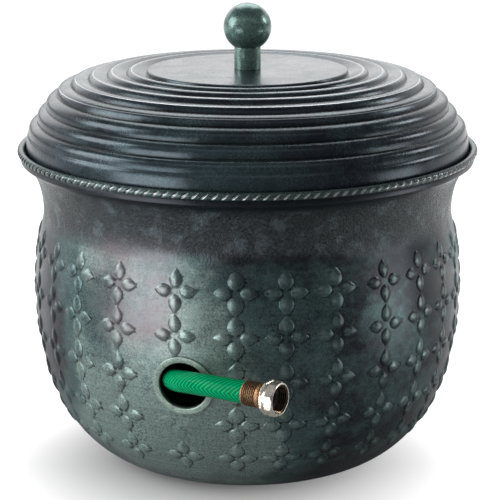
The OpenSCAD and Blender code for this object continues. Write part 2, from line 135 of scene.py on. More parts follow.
# ---- Profiles, [radius, height] ----
fine = 40
pot_outer = np.vstack([
    bezier((foot_r, 0), (foot_r + foot_round, 0), (belly[0], belly[1] - belly_low), belly, 3 * fine),
    bezier(belly, (belly[0], belly[1] + belly_high), (neck[0], neck[1] - neck_low), neck, fine)[1:],
    bezier(neck, (neck[0], neck[1] + neck_high), (mouth[0] - flare_out, mouth[1] - flare_up),
           mouth, fine)[1:]])
pot_s = running(pot_outer)
pot_normal = -left_normals(pot_outer)
pot_inner = pot_outer - pot_wall * pot_normal


def at_s(table, s):
    """Two columns of a table along the pot's outer profile, at lengths s."""
    return np.stack([np.interp(s, pot_s, table[:, 0]), np.interp(s, pot_s, table[:, 1])], axis=-1)


def s_at_height(z):
    return float(np.interp(z, pot_outer[:, 1], pot_s))


def pot_r(z):
    return float(np.interp(z, pot_outer[:, 1], pot_outer[:, 0]))


# ---- Cords first: the hose's route, as in the part's source ----
def round_axis(r, angle, z):
    a = math.radians(angle)
    return vec(r * math.cos(a), r * math.sin(a), z)


def coil_point(t):
    layer = min(int(t // layer_turns), coil_layers - 1)
    into = t - layer * layer_turns
    r = coil_r_out - turn_pitch * into
    if layer % 2:
        r = coil_r_out - turn_pitch * (layer_turns - into)
    down = 0
    for j in range(1, coil_layers):
        u = min(1, max(0, (t - j * layer_turns + 0.25) / 0.5))
        down += u * u * (3 - 2 * u)
    z = coil_z + turn_pitch * (coil_layers - 1 - down)
    return round_axis(r, coil_end_angle - 360 * (coil_turns - t), z)


def compass(angle, rise=0):
    a, e = math.radians(angle), math.radians(rise)
    return vec(math.cos(a) * math.cos(e), math.sin(a) * math.cos(e), math.sin(e))


coil_turns = coil_layers * layer_turns
coil_count = round(coil_turns * rings_per_turn)
lower_dir = compass(coil_end_angle + 90)
upper_dir = compass(coil_end_angle - 360 * coil_turns - 90, male_rise)
coil_line = np.array([coil_point(coil_turns * i / coil_count) for i in range(coil_count + 1)])
coil_lower = coil_line[-1] + 2 * hose_r * lower_dir
coil_upper = coil_line[0] + 2 * hose_r * upper_dir
coil_line = np.vstack([coil_upper, coil_line, coil_lower])

lead_round = [(136, 189, 15), (141, 206, 18), (150, 225, 22), (157, 245, 27), (163, 265, 33),
              (168, 285, 39), (172, 305, 45), (174, 325, 51), (174, 345, 58), (172, 5, 65),
              (168, 25, 73), (161, 45, 82), (151, 65, 91), (139, 85, 98), (127, 105, 100.5),
              (116, 125, 100.5), (108, 145, 100.5), (104, 165, 101), (102, 185, 103), (103, 205, 108)]
lead_out = [(-87, -72, 113), (-83, -100, 118), (-80, -128, 123), (-77, -156, 128), (-73.5, -183, 133),
            (-66, -209, 138.5), (-51.5, -231, 144), (-32.5, -250, 147.6)]
face = vec(30, -292, 150)
face_dir = unit(vec(0.84, -0.55, 0.02))
ferrule_at = swivel_l + swivel_gap


def on_axis(back):
    return face - back * face_dir


lead_line = np.vstack([coil_lower, [round_axis(*place) for place in lead_round], lead_out,
                       on_axis(ferrule_at + ferrule_l), on_axis(ferrule_at + ferrule_end)])
lead_path = smooth_line(lead_line, 6)
coil_path = smooth_line(coil_line, 2)


# ---- Node materials ----
class Graph:
    """A procedural material: its methods add nodes and give back their output sockets."""

    def __init__(self, name, world=None):
        self.material = world or bpy.data.materials.new(name)
        self.material.use_nodes = True
        self.tree = self.material.node_tree
        self.shader = self.tree.nodes["Background" if world else "Principled BSDF"]

    def add(self, kind, out=0, props=None, **inputs):
        n = self.tree.nodes.new(kind)
        for key, value in (props or {}).items():
            setattr(n, key, value)
        for key, value in inputs.items():
            key = key.replace("_", " ")
            self.put(n.inputs[int(key[1:]) if key[0] == "i" and key[1:].isdigit() else key], value)
        return n.outputs[out]

    def put(self, socket, value):
        if isinstance(value, bpy.types.NodeSocket):
            self.tree.links.new(value, socket)
        else:
            socket.default_value = value

    def set(self, **values):
        for key, value in values.items():
            self.put(self.shader.inputs[key.replace("_", " ")], value)

    def place(self):
        return self.add("ShaderNodeTexCoord", 3)

    def math(self, operation, a, b=0.0):
        return self.add("ShaderNodeMath", props={"operation": operation}, i0=a, i1=b)

    def times(self, a, b):
        return self.math("MULTIPLY", a, b)

    def plus(self, a, b):
        return self.math("ADD", a, b)

    def minus(self, a, b):
        return self.math("SUBTRACT", a, b)

    def scaled(self, vector, scale):
        return self.add("ShaderNodeVectorMath", props={"operation": "MULTIPLY"}, i0=vector, i1=scale)

    def noise(self, place, scale, detail=4.0, rough=0.55, twist=0.0):
        return self.add("ShaderNodeTexNoise", Vector=place, Scale=scale, Detail=detail, Roughness=rough,
                        Distortion=twist)

    def span(self, value, a, b, c=0.0, d=1.0, kind="SMOOTHSTEP"):
        """value from a to b becomes c to d, held at the ends."""
        props = {"interpolation_type": kind, "clamp": True}
        return self.add("ShaderNodeMapRange", props=props, i0=value, i1=a, i2=b, i3=c, i4=d)

    def window(self, value, a, b, c, d):
        """1 where value lies between b and c, and 0 outside a and d."""
        return self.times(self.span(value, a, b), self.span(value, d, c))

    def zigzag(self, value):
        """0.5 at every whole number and 0 half way between."""
        return self.math("ABSOLUTE", self.minus(self.math("FRACT", value), 0.5))

    def mix(self, share, a, b, blend="MIX"):
        return self.add("ShaderNodeMix", 2, {"data_type": "RGBA", "blend_type": blend}, i0=share, i6=a, i7=b)

    def stain(self, colour, other, value, a, b, share=1.0):
        """colour, of which a share becomes other as value goes from a to b."""
        return self.mix(self.span(value, a, b, 0.0, share), colour, other)

    def xyz(self, place):
        n = self.tree.nodes.new("ShaderNodeSeparateXYZ")
        self.put(n.inputs[0], place)
        return n.outputs

    def join(self, x=0.0, y=0.0, z=0.0):
        return self.add("ShaderNodeCombineXYZ", i0=x, i1=y, i2=z)

    def bump(self, height, depth, strength=1.0, under=None):
        n = self.add("ShaderNodeBump", Height=height, Distance=depth, Strength=strength)
        if under is not None:
            self.put(n.node.inputs["Normal"], under)
        return n

    def attribute(self, name):
        return self.add("ShaderNodeAttribute", 2, {"attribute_name": name})


def rgb(*levels):
    """A screen colour, 0 to 255, as the linear colour that nodes take."""
    shares = (level / 255 for level in levels)
    return tuple(c / 12.92 if c <= 0.04045 else ((c + 0.055) / 1.055) ** 2.4 for c in shares) + (1,)


def pot_tone_and_painted_light(g, x, z):
    """Shifts of the tone: the left and lower left paler, partly paler verdigris and partly painted light from
    the left lamps; the lower front paler; a small patch of painted light beside the left highlight; the right
    and the foot darker, as painted shade; the neck and the band darker.
    """
    # Partly paler verdigris, partly painted light: paler on the left, where the left lamps fall
    left = g.times(g.span(g.plus(x, g.times(z, 0.35)), 0.10, 0.0), g.span(x, -0.21, -0.15, -0.5, 1.0))
    low_left = g.times(left, g.span(z, 0.20, 0.05))
    low = g.times(g.span(x, 0.10, 0.02), g.window(z, 0.025, 0.065, 0.10, 0.15))
    # Painted light: a paler patch that carries the left highlight a little further right
    inner = g.times(g.window(x, -0.10, -0.06, -0.03, 0.02), g.span(z, 0.26, 0.20))
    # Painted shade: darker on the right, most towards the bottom
    right = g.times(g.span(x, -0.02, 0.10), g.span(z, 0.30, 0.10, 0.5, 1.0))
    neck_dark = g.window(z, 0.246, 0.278, 0.318, 0.330)
    # Painted shade: the foot, under the belly, darker. The band is darker too.
    band, foot = g.span(z, 0.300, 0.312), g.span(z, 0.05, 0.02)
    total = 0.0
    for part, weight in ((neck_dark, -0.24), (left, 0.19), (low_left, 0.03), (low, 0.06), (inner, 0.09),
                         (right, -0.055), (band, -0.10), (foot, -0.10)):
        total = g.plus(g.times(part, weight), total)
    return total


def pot_marks(g, p, xyz, middle, pale, colour, surface):
    """The neck's dark, dented band, a pinkish tint on the left that partly paints the colour of the lamp's
    highlight there, and on the petals crests rubbed paler with a painted highlight at their upper left and
    painted shade along their lower right rims.
    """
    x, y, z = xyz
    neck_band = g.times(g.span(g.plus(z, g.times(middle, 0.03)), 0.262, 0.285), g.span(z, 0.310, 0.302))
    blotches = g.times(neck_band, g.span(g.noise(p, 55, 6, 0.7), 0.5, 0.66, 0.0, 0.34))
    dents = g.times(neck_band, g.span(g.noise(p, 420, 4, 0.65), 0.3, 0.7))
    colour = g.mix(g.times(neck_band, 0.8), colour, rgb(27, 30, 37))
    colour = g.mix(blotches, colour, rgb(112, 128, 134))
    colour = g.mix(g.times(dents, 0.10), colour, pale)
    # Partly painted: a pinkish tint placed where the left lamp's highlight falls, giving that highlight its
    # pinkish grey, over the patina's own pinkish speckle
    patch = g.times(g.window(x, -0.17, -0.12, -0.08, -0.05), g.window(z, 0.15, 0.19, 0.25, 0.28))
    rosy_highlight_tint = g.times(g.times(patch, g.span(y, 0.0, -0.05)), g.span(middle, 0.3, 0.6, 0.3, 0.7))
    colour = g.mix(rosy_highlight_tint, colour, rgb(104, 90, 97))
    wear = g.attribute("wear")
    # Pale: raised crests rubbed paler, with a painted highlight on the petals' upper left. Dark: painted
    # shade along the petals' lower right rims
    colour = g.stain(colour, pale, wear, 0.8, 1.3, 0.55)
    colour = g.stain(colour, rgb(18, 25, 30), wear, 0.49, 0.26, 0.85)
    return colour, g.bump(dents, 0.0007, 0.7, surface)


def patina(name, dark, teal, pale, brown, shares, brushed, rough=(0.25, 0.38), relief=False, painted_hole_shade=False,
           edges=False):
    """Verdigris over steel: blotches at three scales, brown spots, speckle and spinning marks, and where
    asked, painted light and shade.
    """
    g = Graph(name)
    p = g.place()
    xyz = g.xyz(p)
    large = g.noise(p, 5.5, 5, 0.6, 0.6)
    middle = g.noise(p, 24, 6, 0.62, 0.4)
    small = g.noise(p, 130, 5, 0.65)
    grain = g.noise(p, 620, 3, 0.7)
    lines = g.noise(g.scaled(p, (5, 5, 420)), 1.0, 4, 0.6)
    spots = g.noise(g.add("ShaderNodeVectorMath", i0=p, i1=(3.1, 7.7, 1.3)), 11, 6, 0.66, 0.8)
    speckle = g.noise(p, 430, 2, 0.6)
    tone = g.plus(g.times(large, 0.5), g.plus(g.times(middle, 0.34), g.times(small, 0.16)))
    # On the pot the tone also carries painted light and shade
    if relief:
        tone = g.plus(tone, pot_tone_and_painted_light(g, xyz[0], xyz[2]))
    colour = g.stain(dark, teal, tone, shares[0], shares[1])
    colour = g.stain(colour, pale, tone, shares[1], shares[2])
    colour = g.stain(colour, brown, spots, 0.5, 0.7, 0.4)
    colour = g.mix(g.times(brushed, g.span(lines, 0.35, 0.65)), colour, dark)
    colour = g.stain(colour, dark, speckle, 0.52, 0.68, 0.45)
    colour = g.mix(0.55, colour, g.stain(rgb(66, 66, 66), rgb(196, 196, 196), grain, 0.3, 0.7), "OVERLAY")
    surface = g.bump(lines, 0.0001, 0.3, g.bump(small, 0.0004, 0.35, g.bump(grain, 0.00012, 0.7)))
    if edges:
        # Painted shade along the lid's grooves and the rope's notch bottoms, painted highlight along the
        # lid's upper crests and the notches' far sides
        edge = g.attribute("edge")
        colour = g.stain(colour, rgb(16, 24, 26), edge, 0.0, -1.0, 0.85)
        colour = g.stain(colour, rgb(206, 212, 216), edge, 0.2, 1.0, 0.8)
    # Painted shade: nearly black inside the port's bore
    if painted_hole_shade:
        colour = g.mix(g.attribute("painted_hole_shade"), colour, rgb(6, 7, 8))
    if relief:
        colour, surface = pot_marks(g, p, xyz, middle, pale, colour, surface)
    g.set(Base_Color=colour, Normal=surface, Metallic=0.5,
          Roughness=g.plus(g.span(middle, 0.3, 0.7, *rough), g.span(grain, 0.3, 0.7, -0.03, 0.07)))
    g.shader.inputs["Specular IOR Level"].default_value = 0.5
    return g.material


pot_paint = patina("pot_patina", rgb(30, 38, 46), rgb(86, 114, 114), rgb(144, 168, 162), rgb(74, 68, 74),
                   (0.42, 0.58, 0.72), 0.2, relief=True)
ring_paint = patina("ring_patina", rgb(132, 154, 146), rgb(178, 200, 190), rgb(214, 228, 220),
                    rgb(150, 160, 156), (0.40, 0.56, 0.72), 0.1, painted_hole_shade=True)
lid_paint = patina("lid_patina", rgb(38, 47, 57), rgb(70, 90, 96), rgb(104, 122, 124), rgb(54, 54, 60),
                   (0.42, 0.62, 0.80), 0.2, (0.17, 0.26), edges=True)
knob_paint = patina("knob_patina", rgb(92, 122, 118), rgb(150, 184, 174), rgb(188, 210, 198),
                    rgb(106, 104, 98), (0.40, 0.58, 0.78), 0.1, (0.2, 0.3))
rope_paint = patina("rope_patina", rgb(46, 58, 60), rgb(88, 110, 108), rgb(150, 166, 164), rgb(66, 62, 64),
                    (0.40, 0.60, 0.78), 0.1, (0.22, 0.32), edges=True)


def metal(name, colour, stain, rough, scale=60, metallic=1.0, stained=0.5, fine_bump=0.0002, thread=None):
    """A stained metal. thread is the colour inside the nut."""
    g = Graph(name)
    p = g.place()
    cloud = g.noise(p, scale, 5, 0.6)
    grain = g.noise(p, scale * 14, 3, 0.6)
    shown = g.stain(colour, stain, cloud, 0.42, 0.72, stained)
    if thread:
        shown = g.mix(g.attribute("thread"), shown, thread)
    dulled = g.plus(g.span(cloud, 0.3, 0.7, rough * 0.75, rough * 1.3), g.span(grain, 0.3, 0.7, 0, 0.06))
    g.set(Base_Color=shown, Normal=g.bump(grain, fine_bump, 0.4), Metallic=metallic, Roughness=dulled)
    return g.material


zinc = metal("zinc", rgb(176, 178, 180), rgb(120, 122, 126), 0.34)
nickel = metal("nickel", rgb(240, 234, 222), rgb(206, 192, 168), 0.17, 40, 0.9, 0.25, 0.000004,
               rgb(98, 84, 64))
brass = metal("brass", rgb(196, 164, 108), rgb(128, 96, 62), 0.3)


def rubber_look():
    g = Graph("rubber")
    p = g.place()
    dust = g.noise(p, 300, 4, 0.6)
    g.set(Base_Color=g.stain(rgb(64, 62, 66), rgb(104, 100, 104), dust, 0.4, 0.7), Roughness=0.6,
          Normal=g.bump(dust, 0.0002, 0.5))
    return g.material


def crimp_look():
    """Dark copper brown, with a fine diamond knurl and worn ribs."""
    g = Graph("crimp")
    u, v, _ = g.xyz(g.add("ShaderNodeUVMap"))
    cloud = g.noise(g.place(), 260, 5, 0.65)
    colour = g.stain(rgb(50, 36, 27), rgb(138, 108, 76), g.attribute("rib"), 0.1, 0.9)
    colour = g.stain(colour, rgb(70, 48, 34), cloud, 0.45, 0.65, 0.7)
    # A polished band at the nut's end, and a pink copper rim at the hose's
    colour = g.stain(colour, rgb(172, 132, 96), v, 5.0, 4.2, 0.7)
    colour = g.stain(colour, rgb(196, 128, 116), v, ferrule_l - 1.7, ferrule_l - 1.2, 0.8)
    one = g.math("PINGPONG", g.plus(g.times(u, 44.0), g.times(v, 0.55)), 1.0)
    other = g.math("PINGPONG", g.plus(g.times(u, 44.0), g.times(v, -0.55)), 1.0)
    knurl = g.times(g.span(one, 0.0, 0.5), g.span(other, 0.0, 0.5))
    g.set(Base_Color=colour, Metallic=0.85, Roughness=g.span(cloud, 0.3, 0.7, 0.28, 0.5),
          Normal=g.bump(knurl, 0.0003, 0.6, g.bump(cloud, 0.0003, 0.4)))
    return g.material


def hose_look():
    """Clear emerald skin over a chevron braid. u runs round the hose and v along it, in millimetres."""
    braid_pitch, braid_lean, apex_u = 4.8, 14.0, 0.25
    g = Graph("hose")
    u, v, _ = g.xyz(g.add("ShaderNodeUVMap"))
    side = g.zigzag(g.minus(u, apex_u))
    phase = g.minus(g.times(v, 1 / braid_pitch), g.times(side, braid_lean))
    wobble = g.noise(g.join(g.times(u, 9.0), g.times(v, 0.12), 0.0), 1.0, 3, 0.6)
    phase = g.plus(phase, g.times(wobble, 0.35))
    yarn = g.span(g.zigzag(phase), 0.28, 0.44)
    strand = g.noise(g.join(g.times(phase, 2.0), g.times(side, 240.0), 0.0), 1.0, 3, 0.6)
    cloud = g.noise(g.place(), 30, 4, 0.6)
    deep = g.stain(rgb(0, 104, 62), rgb(0, 120, 74), cloud, 0.3, 0.7)
    bright = g.stain(rgb(0, 160, 102), rgb(0, 196, 134), strand, 0.3, 0.7)
    g.set(Base_Color=g.mix(g.times(yarn, 0.85), deep, bright), Roughness=g.plus(0.13, g.times(yarn, 0.05)),
          Normal=g.bump(g.plus(yarn, g.times(strand, 0.3)), 0.00015, 0.5))
    g.shader.inputs["Specular IOR Level"].default_value = 0.03
    return g.material


rubber, crimp, hose = rubber_look(), crimp_look(), hose_look()


# ---- Meshes ----
def piece(name, verts, faces, material, body, slot, replaced=(), sharp=35, normals=None, values=None,
          uv=None):
    """A new piece from points in millimetres. values are named numbers for each point, uv a pair for each."""
    mesh = bpy.data.meshes.new(name)
    mesh.from_pydata((np.asarray(verts, float) * MM).tolist(), [], [tuple(map(int, f)) for f in faces])
    mesh.update()
    for key, numbers in (values or {}).items():
        mesh.attributes.new(key, "FLOAT", "POINT").data.foreach_set("value", np.asarray(numbers, np.float32))
    if uv is not None:
        corner_vert = np.zeros(len(mesh.loops), np.int32)
        mesh.loops.foreach_get("vertex_index", corner_vert)
        pairs = np.asarray(uv, float)[corner_vert]
        ring = np.zeros(len(mesh.polygons), np.int32)
        mesh.polygons.foreach_get("loop_start", ring)
        for k in range(4):
            wrapped = pairs[ring + (k + 1) % 4, 0] - pairs[ring + k, 0]
            # The face that closes a ring ends at u = 1 and not at 0
            pairs[ring + (k + 1) % 4, 0] += np.where(wrapped < -0.5, 1, 0)
            pairs[ring + k, 0] += np.where(wrapped > 0.5, 1, 0)
        mesh.uv_layers.new(name="UVMap").data.foreach_set("uv", pairs.astype(np.float32).ravel())
    mesh.shade_smooth()
    if normals is None:
        mesh.set_sharp_from_angle(angle=math.radians(sharp))
    else:
        mesh.normals_split_custom_set(normals)
    mesh.materials.append(material)
    obj = bpy.data.objects.new(name, mesh)
    bpy.context.scene.collection.objects.link(obj)
    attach(obj, body)
    if replaced:
        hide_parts(*replaced)
    return obj


def skin(m, n, loop):
    """Faces between m rings of n points each; loop joins the last ring to the first."""
    i = np.arange(m if loop else m - 1)[:, None] * n
    k = np.arange(n)[None, :]
    a, b = i + k, i + (k + 1) % n
    return np.stack([a, b, (b + n) % (m * n), (a + n) % (m * n)], axis=-1).reshape(-1, 4).tolist()


def spun(profile, n, radius=None):
    """Rings of a profile [radius, height] round +Z. radius(r, z, angle) may change a radius."""
    p = np.asarray(profile, float)
    a = np.linspace(0, 2 * np.pi, n, endpoint=False)[None, :]
    r, z = p[:, :1] + 0 * a, p[:, 1:] + 0 * a
    if radius:
        r = radius(r, z, a)
    return np.stack([r * np.cos(a), r * np.sin(a), z], axis=-1)


def axis_frame(point, direction):
    """Rotation and place that put a piece drawn along +Z at a point, turned to a direction."""
    d = unit(direction)
    tilt, turn = math.acos(d[2]), math.atan2(d[1], d[0])
    rotation = np.array(Matrix.Rotation(turn, 3, "Z") @ Matrix.Rotation(tilt, 3, "Y"))
    return rotation, point


def turned_piece(name, profile, n, material, body, slot, replaced=(), place=None, closed=True, radius=None,
                 **more):
    """A turned piece. A profile that isn't closed begins and ends on the axis."""
    p = np.asarray(profile, float)
    if closed:
        rings = spun(p, n, radius)
        verts, faces = rings.reshape(-1, 3), skin(len(p), n, True)
    else:
        rings = spun(p[1:-1], n, radius)
        m = len(p) - 2
        verts = np.vstack([rings.reshape(-1, 3), [(0, 0, p[0, 1]), (0, 0, p[-1, 1])]])
        faces = skin(m, n, False)
        faces += [(m * n, (k + 1) % n, k) for k in range(n)]
        faces += [(m * n + 1, (m - 1) * n + k, (m - 1) * n + (k + 1) % n) for k in range(n)]
    if place:
        verts = verts @ place[0].T + place[1]
    return piece(name, verts, faces, material, body, slot, replaced, **more)


def tube(name, path, first, last, n, material, body, slot, replaced):
    """A round hose along a path, with flat ends and a bore, and u, v for its braid."""
    p = np.asarray(path, float)
    steps = unit(np.diff(p, axis=0))
    d = unit(np.vstack([first, steps[1:] + steps[:-1], last]))
    side = unit(np.cross(d, [0, 0, 1.0]))
    up = np.cross(side, d)
    a = np.linspace(0, 2 * np.pi, n, endpoint=False)[None, :, None]
    ring = np.cos(a) * up[:, None, :] - np.sin(a) * side[:, None, :]
    m = len(p)
    verts = np.vstack([(p[:, None, :] + r * ring).reshape(-1, 3) for r in (hose_r, hose_bore_r)])
    faces = skin(m, n, False)
    faces += [(c + m * n, b + m * n, a_ + m * n, d_ + m * n) for a_, b, c, d_ in skin(m, n, False)]
    for k in range(n):
        j, e = (k + 1) % n, (m - 1) * n
        faces.append((k, k + m * n, j + m * n, j))
        faces.append((e + k, e + j, e + j + m * n, e + k + m * n))
    u = np.tile(np.arange(n) / n, 2 * m)
    v = np.tile(np.repeat(running(p), n), 2)
    return piece(name, verts, faces, material, body, slot, replaced, sharp=50, uv=np.stack([u, v], axis=1))


# ---- Hose ----
lead = tube("hose_end", lead_path, lower_dir, face_dir, 40, hose, "pot", "hose", ("hose_lead",))
coil = tube("hose_coiled", coil_path, -upper_dir, lower_dir, 20, hose, "pot", "hose", ("hose_coil",))


def ferrule(name, place, replaced):
    """A crimped sleeve: end wall at z = 0, six ribs and a rolled rim at the hose's end."""
    ribs, rib_from, rib_to = 6, 5.2, ferrule_l - 2.2
    z = np.linspace(rib_from, rib_to, ribs * 8 + 1)
    wave = 0.5 - 0.5 * np.cos(2 * np.pi * ribs * (z - rib_from) / (rib_to - rib_from))
    outer = np.stack([ferrule_r - 0.5 + 0.5 * (1 - (1 - wave) ** 1.5), z], axis=1)
    r, top, bore_r, tail_hole_r = ferrule_r, ferrule_l, hose_r + ferrule_gap, barb_r + 0.1
    start = [(tail_hole_r, 0), (r - 1.2, 0), (r - 0.3, 0.35), (r, 1.1), (r, 4.4)]
    end = [(r - 0.1, top - 1.6), (r, top - 0.9), (r - 0.25, top - 0.2), (r - 0.6, top), (bore_r, top - 0.1),
           (bore_r, ferrule_end), (tail_hole_r, ferrule_end)]
    profile = np.vstack([start, outer, end])
    n = 96
    rib = np.clip((profile[:, 0] - ferrule_r + 0.5) / 0.5, 0, 1)
    uv = np.stack([np.tile(np.arange(n) / n, len(profile)), np.repeat(profile[:, 1], n)], axis=1)
    return turned_piece(name, profile, n, crimp, "pot", "crimp", replaced, place, sharp=50,
                        values={"rib": np.repeat(rib, n)}, uv=uv)


end_ferrule = ferrule("end_ferrule", axis_frame(on_axis(ferrule_at), -face_dir), ("hose_ferrule",))
inner_ferrule = ferrule("inner_ferrule", axis_frame(coil_upper + ferrule_end * upper_dir, -upper_dir),
                        ("male_ferrule",))


def swivel_nut():
    """The swivel nut: an octagon with turned chamfers and groove, and a thread cut inside."""
    flat_r = nut_flat / 2
    corner_r = flat_r / math.cos(math.radians(22.5))
    groove = swivel_l * 0.66
    pitch, depth, around = 2.21, 1.15, 192
    over = corner_r + 0.3
    turned_line = np.array([
        (flat_r - 0.9, 0), (flat_r - 0.35, 0.25), (over, 2.3), (over, groove - 2.1),
        (flat_r - 0.7, groove - 0.9), (flat_r - 0.7, groove + 0.4), (over, groove + 1.6),
        (over, swivel_l - 2.8), (flat_r - 0.9, swivel_l - 0.25), (flat_r - 1.4, swivel_l)])
    heights = np.unique(np.round(np.concatenate([turned_line[:, 1], np.linspace(0, swivel_l, 44)]), 3))
    outside = np.stack([np.interp(heights, turned_line[:, 1], turned_line[:, 0]), heights], axis=1)
    inside_z = np.arange(thread_l, 0.7, -pitch / 10)
    thread = np.stack([0 * inside_z + thread_r, inside_z], axis=1)
    wall_z = swivel_l - swivel_wall
    back = [(tail_r + 0.05, swivel_l), (tail_r + 0.05, wall_z), (pocket_r, wall_z),
            (pocket_r, thread_l + 0.1), (pocket_r, thread_l)]
    front = [(thread_r + depth, 0.5), (thread_r + depth + 0.35, 0.05)]
    profile = np.vstack([outside, back, thread, front])
    number = np.arange(len(profile))
    is_outside = number < len(outside)
    is_thread = (number >= len(outside) + len(back)) & (number < len(profile) - 2)
    dull = np.where(is_outside, 0.0, np.where(profile[:, 1] < 0.4, 0.3, 1.0))

    def radius(r, z, a):
        eighth = (a + np.pi / 8) % (np.pi / 4) - np.pi / 8
        octagon = flat_r / np.cos(eighth)
        turn = (z / pitch - a / (2 * np.pi)) % 1
        cut = depth * np.clip(1.15 - np.abs(turn - 0.5) * 3.1, 0, 1)
        return np.where(is_outside[:, None], np.minimum(r, octagon), np.where(is_thread[:, None], r + cut, r))

    # The profile runs from the open face at z = 0 towards the hose
    return turned_piece("swivel_nut", profile, around, nickel, "coupling", "nickel", ("coupling_nut",),
                        axis_frame(face, -face_dir), radius=radius, sharp=22,
                        values={"thread": np.repeat(dull, around)})


nut = swivel_nut()
seal_outer_r = pocket_r - 0.1
seal_profile = fillet([(seal_r, 0), (seal_outer_r, 0), (seal_outer_r, seal_t), (seal_r, seal_t)], 0.6)
seal = turned_piece("nut_seal", seal_profile, 96, rubber, "coupling", "rubber", ("coupling_seal",),
                    axis_frame(on_axis(thread_l), -face_dir), sharp=60)

for name, paint in (("coupling_tail", brass), ("male_fitting", nickel), ("rim_wire", zinc),
                    ("lid_wire", zinc), ("knob_screw", zinc), ("knob_washer", zinc), ("knob_nut", zinc),
                    ("base_plate", rope_paint)):
    nodes[name].data.materials.clear()
    nodes[name].data.materials.append(paint)


# ---- Pot: a sheet with pressed flowers ----
flower_rows = [226.6, 184.0, 138.5, 93.5, 54.0]
front_columns = [-60.8, -48.4, -34.2, -18.0, -2.8, 9.6, 22.5, 36.8, 49.8, 62.0]
back_from, back_to, back_count = 73.6, 299.2, 18
columns = np.array(front_columns + list(np.linspace(back_from, back_to, back_count + 1)[:-1]))
port_column, port_row, faint_row, small_row = -18.0, 2, 3, 4
upright_span, sideways_span = (2.9, 21.6), (4.0, 21.4)
upright_width, sideways_width, wide_columns = 6.6, 6.5, {-2.8: 7.9, 9.6: 7.4, 22.5: 7.2}
leaf_root, leaf_tip = 0.68, 0.92
leaf_peak = leaf_root / (leaf_root + leaf_tip)
relief_h, flower_reach = 1.9, 30
inner_rings, rim_steps = (0.92, 0.7, 0.4), 11

# The wall is made in upright strips, one for each column, whose edges lie between the columns
strips, across, loop_count = len(columns), 16, 72
strip_edges = (columns + np.roll(columns, 1)) / 2
strip_edges[0] = (columns[0] + columns[-1] - 360) / 2
# This edge is moved, so that the whole port lies in one strip
strip_edges[4] = -8.5
strip_edges = np.append(strip_edges, strip_edges[0] + 360)
strip_low, strip_high = s_at_height(26), s_at_height(252)
azimuths = np.concatenate([np.linspace(a, b, across, endpoint=False)
                           for a, b in zip(strip_edges, strip_edges[1:])])
unroll_r = 200
strip_margin = math.degrees(0.35 / unroll_r)
# How far points keep from a petal's outline and from the port: round a petal, and in the grid
surround, surround_clear, surround_port, grid_clear, grid_port = (1.1, 1.4), 0.62, 1.2, 2.2, 2.5


def round_pot(azimuth, r, z):
    """Points at azimuths counted from the front to the right, r from the axis and z high."""
    a = np.radians(azimuth)
    return np.stack([r * np.sin(a), -r * np.cos(a), z + 0 * a], axis=-1)


port_body_r = pot_r(port_z)
port_hole_r = port_r + port_collar_t + port_gap
port_tilt = math.atan2(pot_r(port_z + port_hole_r) - pot_r(port_z - port_hole_r), 2 * port_hole_r)
port_centre = round_pot(-port_turn, port_body_r, port_z)
port_axis = round_pot(-port_turn, math.cos(port_tilt), -math.sin(port_tilt))
port_x = round_pot(90 - port_turn, 1, 0)
port_up = np.cross(port_axis, port_x)


class Petal:
    """One petal: its flower's place, its direction and its leaf outline."""

    def __init__(self, azimuth, s, turn, scale, upright_width, strength):
        self.azimuth, self.s, self.scale, self.strength = azimuth, s, scale, strength
        self.cos, self.sin = ((1, 0), (0, 1), (-1, 0), (0, -1))[turn]
        self.start, self.end = upright_span if self.sin else sideways_span
        self.half_width = upright_width if self.sin else sideways_width

    def width(self, t):
        t = np.clip(t, 0, 1)
        top = leaf_peak ** leaf_root * (1 - leaf_peak) ** leaf_tip
        return self.half_width * t ** leaf_root * (1 - t) ** leaf_tip / top

    def to_flat(self, t, b):
        """Azimuth and length up the wall of a point at share t along the petal and b beside its middle."""
        a = self.start + t * (self.end - self.start)
        x, y = (a * self.cos - b * self.sin) * self.scale, (a * self.sin + b * self.cos) * self.scale
        up = self.s + y
        return self.azimuth + np.degrees(x / at_s(pot_outer, up)[..., 0]), up

    def from_flat(self, azimuth, up):
        y = (up - self.s) / self.scale
        x = np.radians(azimuth - self.azimuth) * at_s(pot_outer, up)[..., 0] / self.scale
        a, b = x * self.cos + y * self.sin, -x * self.sin + y * self.cos
        return (a - self.start) / (self.end - self.start), b

    def distance(self, azimuth, up):
        """How far a point lies outside the outline, below 0 inside."""
        t, b = self.from_flat(azimuth, up)
        held = np.clip(t, 0.02, 0.98)
        aside = np.abs(b) - self.width(held)
        beyond = np.abs(t - held) * (self.end - self.start)
        return np.where(beyond > 0, np.hypot(np.maximum(aside, 0), beyond), aside) * self.scale

    def height(self, azimuth, up):
        """Height over the wall, 0 outside the petal."""
        t, b = self.from_flat(azimuth, up)
        w = np.maximum(self.width(t), 1e-6)
        q = np.abs(b) / w
        inside = (t > 0) & (t < 1) & (q < 1)
        dome = 1 - np.where(inside, q, 1) ** 2.3
        taper = np.clip(w / self.half_width, 0, 1) ** 0.95
        return np.where(inside, relief_h * dome * taper, 0) * self.strength

    def lower_right(self, azimuth, up):
        """From 1 on the petal's lower right to -1 on its upper left."""
        middle_az, middle_up = self.to_flat(np.array(0.5), np.array(0.0))
        aside, above = np.radians(azimuth - middle_az) * unroll_r, up - middle_up
        return (0.9 * aside - 0.4 * above) / np.hypot(aside, above)


